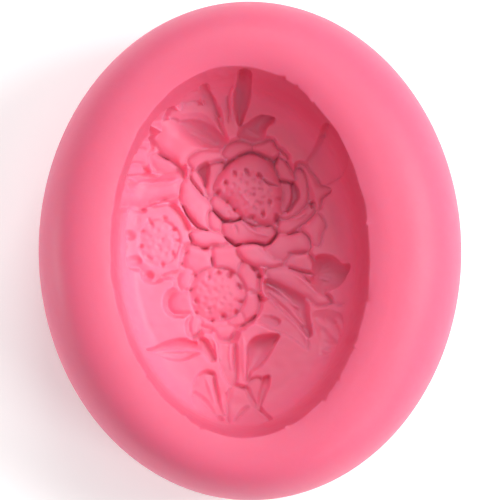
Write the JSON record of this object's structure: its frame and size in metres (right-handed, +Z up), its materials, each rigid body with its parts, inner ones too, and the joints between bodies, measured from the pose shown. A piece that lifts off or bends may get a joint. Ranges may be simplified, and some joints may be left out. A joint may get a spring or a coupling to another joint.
{
  "type": "silicone soap mould",
  "caption": "Flexible oval mould for casting a bar of soap, with an open cavity whose floor carries a flower relief in negative.",
  "frame": {"origin": "centre of the flat base, on the surface that the mould stands on", "axes": "+Z up, out of the cavity's mouth; +Y along the oval's long axis, towards the end with the leaves above the large bloom; +X across the oval"},
  "size_m": [0.0806, 0.095, 0.034],
  "materials": {
    "silicone": "soft matte platinum-cure silicone rubber, saturated pink, slightly translucent"
  },
  "bodies": {
    "root": {"mould_body": "silicone"}
  },
  "joints": []
}
